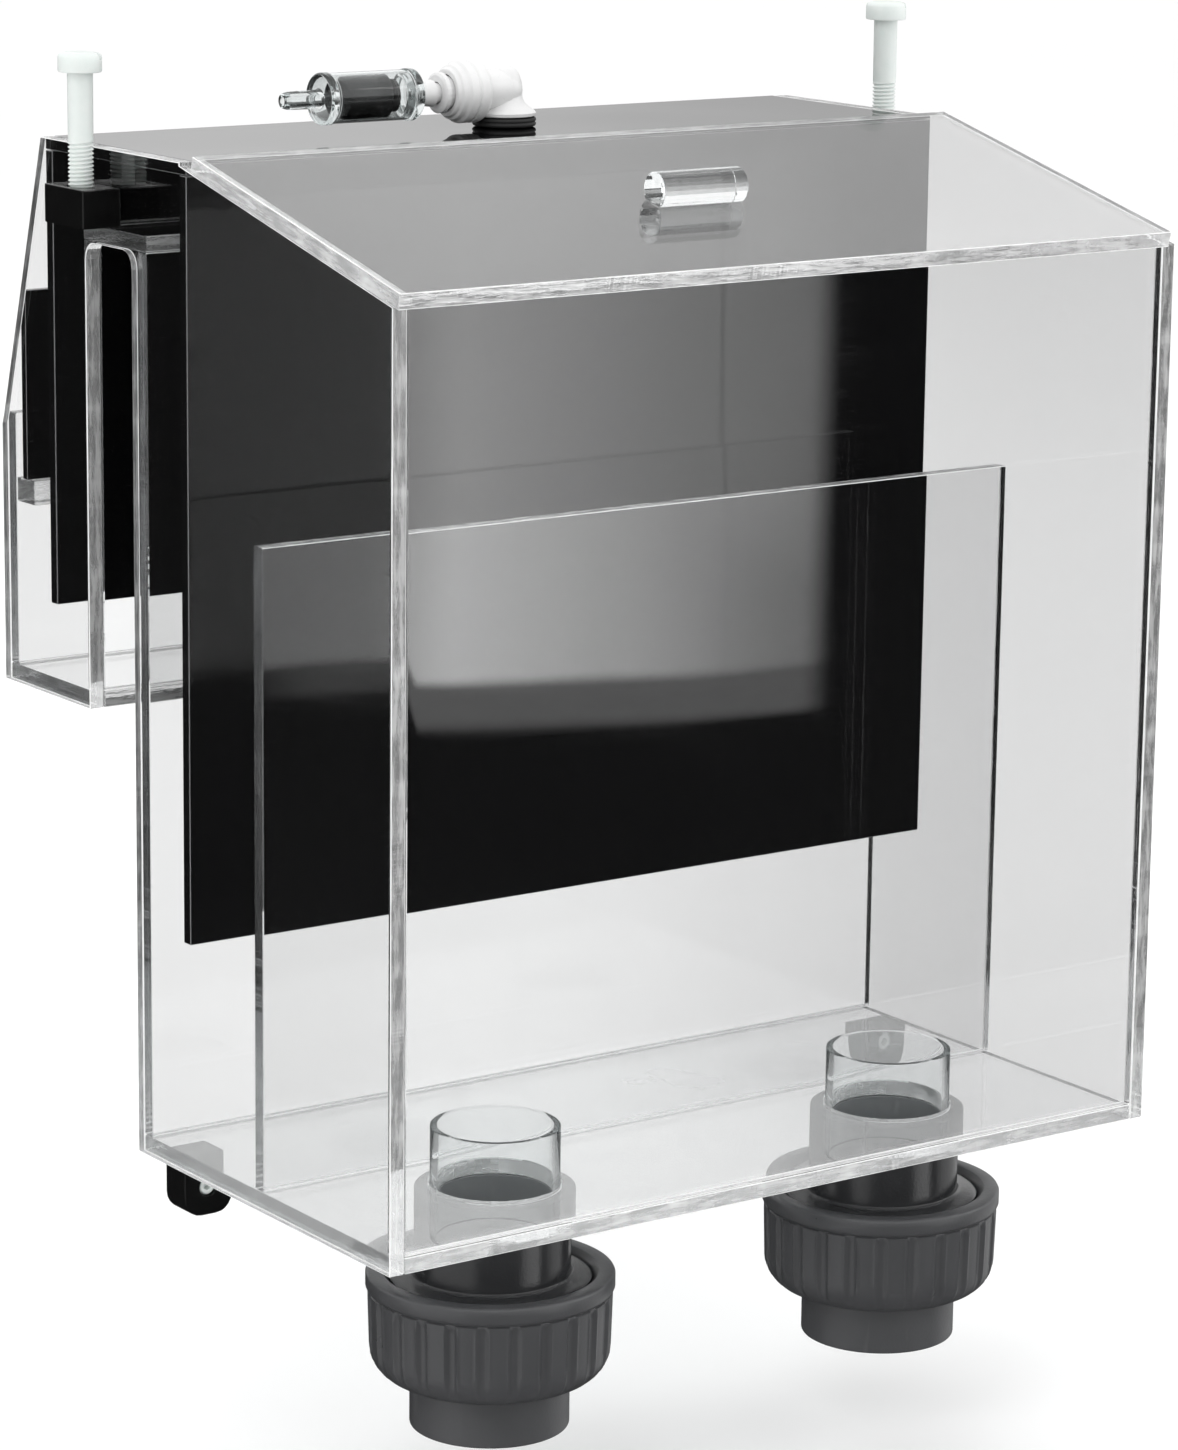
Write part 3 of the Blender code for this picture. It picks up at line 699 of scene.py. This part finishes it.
def union_socket(side, sign):
    """Neck under the floor, then a threaded end inside the nut."""
    top, pipe_stop = FLOOR_BOTTOM - 0.3, -302.9
    thread_r, root_r = 31.3, 30.2
    points = [(SOCKET_R, top), (NECK_R, top), (NECK_R, -307.6), (25.8, -308.3),
              (30.0, -308.5)]
    for turn in range(7):
        z = -308.9 - 2.6 * turn
        points += [(thread_r, z), (thread_r, z - 0.7), (root_r, z - 1.5), (root_r, z - 1.9)]
    points += [(thread_r, SEAT_Z + 0.6), (thread_r, SEAT_Z), (PASSAGE_R, SEAT_Z),
               (PASSAGE_R, pipe_stop), (SOCKET_R, pipe_stop)]
    socket = union_part("pvc_socket_" + side, rounded(points, radius=0.35, steps=2), sign)
    register(socket, PVC_SOCKET, rides="box", replaces="union_socket_" + side)


def union_tail(side, sign):
    """Lower half: a flange with a ring groove in its face, then a neck."""
    face, pipe_stop = SEAT_Z - JOINT_GAP, TAIL_END + 22.0
    groove_in, groove_out, groove_z = 21.9, 25.1, face - 3.0
    points = [(PASSAGE_R, face), (groove_in, face), (groove_in, groove_z),
              (groove_out, groove_z), (groove_out, face), (31.2, face),
              (31.2, face - 5.6), (NECK_R, face - 6.0), (NECK_R, TAIL_END),
              (SOCKET_R, TAIL_END), (SOCKET_R, pipe_stop), (PASSAGE_R, pipe_stop)]
    radii = [0.3, 0.2, 0.2, 0.2, 0.2, 0.3, 0.3, 0.5, 0.9, 0.7, 0.3, 0.3]
    tail = union_part("pvc_tail_" + side, rounded(points, radius=radii, steps=4), sign)
    register(tail, PVC_TAIL, rides="union_lower_" + side,
             replaces="union_tail_" + side)


def union_nut(side, sign):
    """Raised lip, then a ribbed grip that fades into the turned-in shoulder."""
    ledge = SEAT_Z - JOINT_GAP - 6.3        # inner ledge under the tail's flange
    grip_length, shoulder_top = 17.5, NUT_TOP - 24.0
    lip = [(33.3, NUT_TOP - 0.2), (33.8, NUT_TOP), (37.6, NUT_TOP), (38.2, NUT_TOP - 0.3),
           (NUT_R, NUT_TOP - 0.9), (NUT_R, NUT_TOP - 4.6), (38.2, NUT_TOP - 5.3),
           (37.5, NUT_TOP - 5.7), (37.2, NUT_TOP - 6.1)]
    grip = [(37.7 - 0.5 * k / 12, NUT_TOP - 6.5 - grip_length * k / 12) for k in range(13)]
    shoulder = []
    for k in range(1, 9):
        angle = k / 8 * math.pi / 2
        shoulder.append((37.2 - 9.4 + 9.4 * math.cos(angle),
                         shoulder_top - 9.6 * math.sin(angle)))
    inside = [(26.4, NUT_END), (25.6, NUT_END + 0.1), (25.3, NUT_END + 0.5), (25.3, ledge),
              (31.8, ledge), (31.8, NUT_TOP - 2.0), (33.0, NUT_TOP - 0.9)]
    grip_first = len(lip)
    grip_last = grip_first + len(grip) - 1

    def ribs(row, turn):
        if row < grip_first:
            return 0.0
        fade = min(1.0, max(0.0, 1.0 - (row - grip_last) / 5.0))
        if row == grip_first:
            fade = 0.4
        # 0 at the middle of a groove, 1 at the middle of a rib
        place = abs((turn * NUT_RIBS) % 1.0 - 0.5) * 2
        groove = 1.0 if place < 0.20 else max(0.0, 1 - (place - 0.20) / 0.16)
        ridge = 0.18 if 0.36 <= place < 0.52 else 0.0
        return (-0.95 * groove + ridge) * fade

    nut = union_part("pvc_nut_" + side, lip + grip + shoulder + inside, sign,
                     sharp_angle=50, segments=NUT_RIBS * 18, relief=ribs)
    register(nut, PVC_NUT, rides="union_nut_" + side, replaces="union_nut_" + side)


def standpipe(side, sign):
    """Clear pipe with lightly rounded rims."""
    node = "standpipe_" + side
    low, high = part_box(node)
    bottom, top = low.z / MM, high.z / MM
    points = [(PIPE_BORE_R, bottom), (PIPE_R, bottom), (PIPE_R, top), (PIPE_BORE_R, top)]
    pipe = union_part("clear_" + node, rounded(points, radius=0.35, steps=3), sign)
    register(pipe, CLEAR_TUBE, rides=node, replaces=node)


# ------------------------------------------------------------ airline
AIR_STEM = (0, AIR_Y, 0)
AIR_ARM = (0, AIR_Y, ARM_Z)

# Outlines of (radius, height) on the stem, or (radius, x) on the arm.
GROMMET = [
    (3.5, PLATE_BOTTOM - 2.6), (6.6, PLATE_BOTTOM - 2.6), (7.4, PLATE_BOTTOM - 0.3),
    (6.0, PLATE_BOTTOM - 0.3), (6.0, PLATE_TOP + 0.3), (9.8, PLATE_TOP + 0.3),
    (10.2, PLATE_TOP + 0.8), (10.2, PLATE_TOP + 1.3), (9.9, PLATE_TOP + 1.5),
    (9.9, PLATE_TOP + 1.9), (10.2, PLATE_TOP + 2.1), (10.2, PLATE_TOP + 2.7),
    (9.8, PLATE_TOP + 3.1), (3.5, PLATE_TOP + 3.1)]
ELBOW_BASE = PLATE_TOP + 3.4
ELBOW_STEM = [
    (0, PLATE_BOTTOM - 3.6), (2.0, PLATE_BOTTOM - 4.0), (3.2, PLATE_BOTTOM - 4.0),
    (3.2, ELBOW_BASE), (9.6, ELBOW_BASE), (10.1, ELBOW_BASE + 0.3),
    (10.2, ELBOW_BASE + 1.2), (9.6, ELBOW_BASE + 1.9), (8.0, ELBOW_BASE + 2.9),
    (6.6, ELBOW_BASE + 4.1), (5.9, ELBOW_BASE + 5.6), (5.7, ELBOW_BASE + 7.0),
    (5.6, ARM_Z + 2.2), (4.6, ARM_Z + 5.0), (3.6, ARM_Z + 6.5), (2.0, ARM_Z + 7.4),
    (0, ARM_Z + 7.6)]
ELBOW_ARM = [
    (0, 1.6), (4.9, 1.2), (6.5, -1.0), (6.8, -9.4), (9.2, -10.6), (9.9, -11.8),
    (9.9, -14.6), (9.4, -14.9), (9.4, -15.4), (9.9, -15.7), (9.9, -18.4),
    (9.0, -19.2), (8.7, -20.9), (7.9, -21.3), (7.5, -22.5), (5.7, -22.5),
    (5.6, -19.1), (3.5, -19.1), (3.5, -10.2), (0, -10.2)]
HOSE_STUB = [
    (1.9, -10.4), (3.2, -10.4), (3.2, -27.4), (4.3, -27.9), (3.9, -31.5),
    (3.8, -33.4), (4.3, -34.0), (4.3, -34.7), (1.9, -34.7)]
CAP = [
    (1.9, -34.8), (7.2, -34.8), (8.0, -35.2), (8.2, -35.9), (8.2, -38.1),
    (6.3, -38.1), (6.3, -41.0), (5.2, -41.0), (5.2, -37.4), (1.9, -37.4)]
SHELL = [
    (6.6, -38.3), (7.9, -38.3), (7.9, -66.0), (8.2, -66.3), (8.2, -68.9),
    (7.7, -69.6), (3.3, -69.7), (3.0, -70.2), (2.8, -81.2), (2.3, -83.0),
    (1.5, -83.2), (1.4, -66.4), (6.6, -66.4)]
CORE = [
    (1.6, -46.2), (6.3, -46.2), (6.3, -47.4), (5.7, -47.7), (5.7, -48.3),
    (6.3, -48.6), (6.3, -49.6), (5.7, -49.9), (5.7, -50.5), (6.3, -50.8),
    (6.3, -62.2), (5.4, -63.0), (1.6, -63.0)]

# name, outline, corner radius, corner steps, segments, material, slot, replaced node
VALVE_PARTS = (
    ("valve_stub_white", HOSE_STUB, 0.2, 3, 48, WHITE, "white", None),
    ("valve_cap_clear", CAP, 0.3, 3, 64, CLEAR_VALVE, "clear", "valve_cap"),
    ("valve_shell_clear", SHELL, 0.3, 3, 64, CLEAR_VALVE, "clear", "valve_shell"),
    ("valve_core_black", CORE, 0.2, 2, 64, VALVE_CORE, "black", "valve_core"),
)


def grommet():
    bm = bmesh.new()
    add_lathe(bm, rounded(GROMMET, radius=0.25, steps=3), AIR_STEM)
    register(to_object(bm, "rubber_grommet", 45), RUBBER, rides="box",
             replaces="air_grommet")


def elbow():
    """Stem and arm, with a ball filling out the bend."""
    bm = bmesh.new()
    add_lathe(bm, ELBOW_STEM, AIR_STEM, segments=48)
    add_lathe(bm, rounded(ELBOW_ARM, radius=0.35, steps=3), AIR_ARM, "X", segments=48)
    bmesh.ops.create_uvsphere(bm, u_segments=32, v_segments=20, radius=6.3 * MM,
                              matrix=Matrix.Translation(Vector((-0.6, AIR_Y, ARM_Z)) * MM))
    register(to_object(bm, "white_elbow", 45), WHITE, rides="elbow",
             replaces="air_elbow")


def check_valve():
    for name, outline, radius, steps, segments, material, slot, replaced in VALVE_PARTS:
        bm = bmesh.new()
        add_lathe(bm, rounded(outline, radius, steps), AIR_ARM, "X", segments)
        register(to_object(bm, name, 45), material, rides="check_valve",
                 replaces=replaced)


# ------------------------------------------------------------ studio
def studio_floor():
    """Paper floor with a curved rise well behind the object."""
    z = CAD_BOX[0][2] - 0.033       # room for the union halves to drop
    bend_start, bend_r = 3.0, 2.5
    half_width, front_edge, wall_top = 9.0, -6.0, 7.0
    profile = [(front_edge, z), (bend_start, z)]      # (y, z)
    for k in range(1, 17):
        angle = k / 16 * math.pi / 2
        profile.append((bend_start + bend_r * math.sin(angle),
                        z + bend_r - bend_r * math.cos(angle)))
    profile.append((bend_start + bend_r, z + wall_top))
    bm = bmesh.new()
    rows = [[bm.verts.new((x, *point)) for x in (-half_width, half_width)]
            for point in profile]
    for row, next_row in zip(rows, rows[1:]):
        bm.faces.new((row[0], row[1], next_row[1], next_row[0]))
    mesh = bpy.data.meshes.new("studio_floor")
    bm.to_mesh(mesh)
    bm.free()
    floor = link(mesh, "studio_floor")
    for face in mesh.polygons:
        face.use_smooth = True

    # paper that mirrored rays pass through
    t = material_graph("studio_paper")
    colour = t.mix_colour(t.noise(scale=2.0, detail=2.0),
                          (0.93, 0.93, 0.93), (0.95, 0.95, 0.95))
    paper = t.mix(t.mirrored(), t.shader("BsdfDiffuse", Color=colour),
                  t.shader("BsdfTransparent", Color=(1.0, 1.0, 1.0)))
    mesh.materials.append(t.finish(paper))


def reflection_card(t, x, y, z):
    """A card on the -y side with a soft +x side and two lower borders."""
    turn = t.math("DIVIDE", x, t.math("MAXIMUM", t.times(y, -1.0), 0.05))
    front = t.smoothstep(t.times(y, -1.0), low=0.30, high=0.50)
    side = t.times(t.smoothstep(turn, low=0.10, high=0.35),
                   t.inverse(t.smoothstep(turn, low=0.774, high=0.787)))
    # brightness across the card, dimmed at its lower +x corner
    across = t.scaled(turn, by=4.0, plus=-2.2, clamp=True)
    strength = t.ramp(across, (0.20, 0.47), (0.36, 0.57), (0.464, 0.92), (0.644, 0.68),
                      (0.77, 0.53), (0.896, 0.44))
    corner = t.times(t.smoothstep(turn, low=0.72, high=0.78),
                     t.smoothstep(t.times(z, -1.0), low=0.165, high=0.195))
    strength = t.times(strength, t.scaled(corner, by=-0.30, plus=1.0))
    # the borders lean and ripple along x, and step at one place
    ripple = t.times(t.math("SINE", t.times(x, 46.0)), 0.0010)
    line = t.plus(t.scaled(x, by=-0.09, plus=z), ripple)
    step = t.smoothstep(turn, low=0.6515, high=0.6560)
    low_line = t.scaled(step, by=0.0074, plus=line)
    high_line = t.scaled(step, by=0.0050, plus=line)
    dim_band = t.times(t.smoothstep(low_line, low=-0.2634, high=-0.2606),
                       t.smoothstep(turn, low=0.600, high=0.628))
    bright = t.smoothstep(high_line, low=-0.2578, high=-0.2542)
    card = t.math("MAXIMUM", t.times(dim_band, 0.50), t.times(bright, t.times(strength, 2.9)))
    return t.times(t.times(card, front), side)


def studio_world():
    """White to the eye; mirrored rays see a dim room, bright ceiling and card."""
    world = bpy.data.worlds.new("studio")
    bpy.context.scene.world = world
    t = Graph(world, "OutputWorld")
    incoming = t.new("NewGeometry").outputs["Incoming"]
    x, y, z = t.xyz(t.vmath("MULTIPLY", incoming, (-1, -1, -1)))
    card = reflection_card(t, x, y, z)
    # the ceiling dims a little towards +x
    ceiling = t.scaled(t.smoothstep(x, low=0.53, high=0.63), by=-0.22, plus=1.16)
    dome = t.scaled(t.smoothstep(z, low=0.02, high=0.14), by=ceiling, plus=0.015)
    # paler walls at both sides, out of the way of the main reflections
    walls = t.smoothstep(t.size(x), low=0.72, high=0.90)
    dome = t.math("MAXIMUM", dome, t.times(walls, 0.70))
    reflected = t.math("MAXIMUM", card, dome)
    t.finish(t.mix(t.mirrored(), t.shader("Background", Color=(1, 1, 1), Strength=1.08),
                   t.shader("Background", Color=(1, 1, 1), Strength=reflected)))


def area_light(name, location, target, size, power, glossy=True):
    light = bpy.data.lights.new(name, "AREA")
    light.shape = "RECTANGLE"
    light.size, light.size_y = size
    light.energy = power
    obj = bpy.data.objects.new(name, light)
    bpy.context.scene.collection.objects.link(obj)
    obj.location = location
    aim = Vector(target) - Vector(location)
    obj.rotation_euler = aim.to_track_quat("-Z", "Y").to_euler()
    obj.visible_glossy = glossy
    obj.visible_camera = False
    obj.visible_transmission = False


def studio_lights():
    area_light("key", location=(-1.6, -1.1, 1.7), target=(0, -0.05, -0.1),
               size=(1.2, 1.2), power=12)
    area_light("fill", location=(1.9, -1.0, 0.7), target=(0, -0.05, -0.15),
               size=(1.0, 1.4), power=7)
    area_light("back", location=(0.2, 1.8, 1.5), target=(0, 0, 0),
               size=(1.6, 0.8), power=8, glossy=False)


def studio_camera():
    """Long lens looking towards +y, turned to +x and tipped down."""
    heading, down, roll = math.radians(35.42), math.radians(12.74), math.radians(0.72)
    forward = Vector((math.sin(heading) * math.cos(down),
                      math.cos(heading) * math.cos(down), -math.sin(down)))
    level = forward.cross(Vector((0, 0, 1))).normalized()
    upright = level.cross(forward)
    right = level * math.cos(roll) + upright * math.sin(roll)
    up = -level * math.sin(roll) + upright * math.cos(roll)
    camera = bpy.data.cameras.new("camera")
    camera.sensor_width = 36.0
    camera.lens = 121.95310345
    camera.shift_x, camera.shift_y = -0.0074482759, 0.0032413793
    camera.clip_start, camera.clip_end = 0.05, 60.0
    obj = bpy.data.objects.new("camera", camera)
    bpy.context.scene.collection.objects.link(obj)
    pose = Matrix((right, up, -forward)).transposed().to_4x4()
    pose.translation = Vector((-0.8838, -1.2999, 0.1878))
    obj.matrix_world = pose
    bpy.context.scene.camera = obj


def render_settings():
    view = bpy.context.scene.view_settings
    view.view_transform = "Standard"
    view.look = "None"
    view.exposure = 0.0
    view.gamma = 1.0
    cycles = bpy.context.scene.cycles
    cycles.max_bounces = 48
    cycles.transmission_bounces = 48
    cycles.glossy_bounces = 48
    cycles.diffuse_bounces = 3
    cycles.transparent_max_bounces = 64
    cycles.use_denoising = True


# ------------------------------------------------------------ build
finish_kept_pieces()
for side, _ in SIDES:
    level_screw(side)
for side, sign in SIDES:
    union_socket(side, sign)
    union_tail(side, sign)
    union_nut(side, sign)
    standpipe(side, sign)
grommet()
elbow()
check_valve()
studio_floor()
studio_world()
studio_lights()
studio_camera()
render_settings()
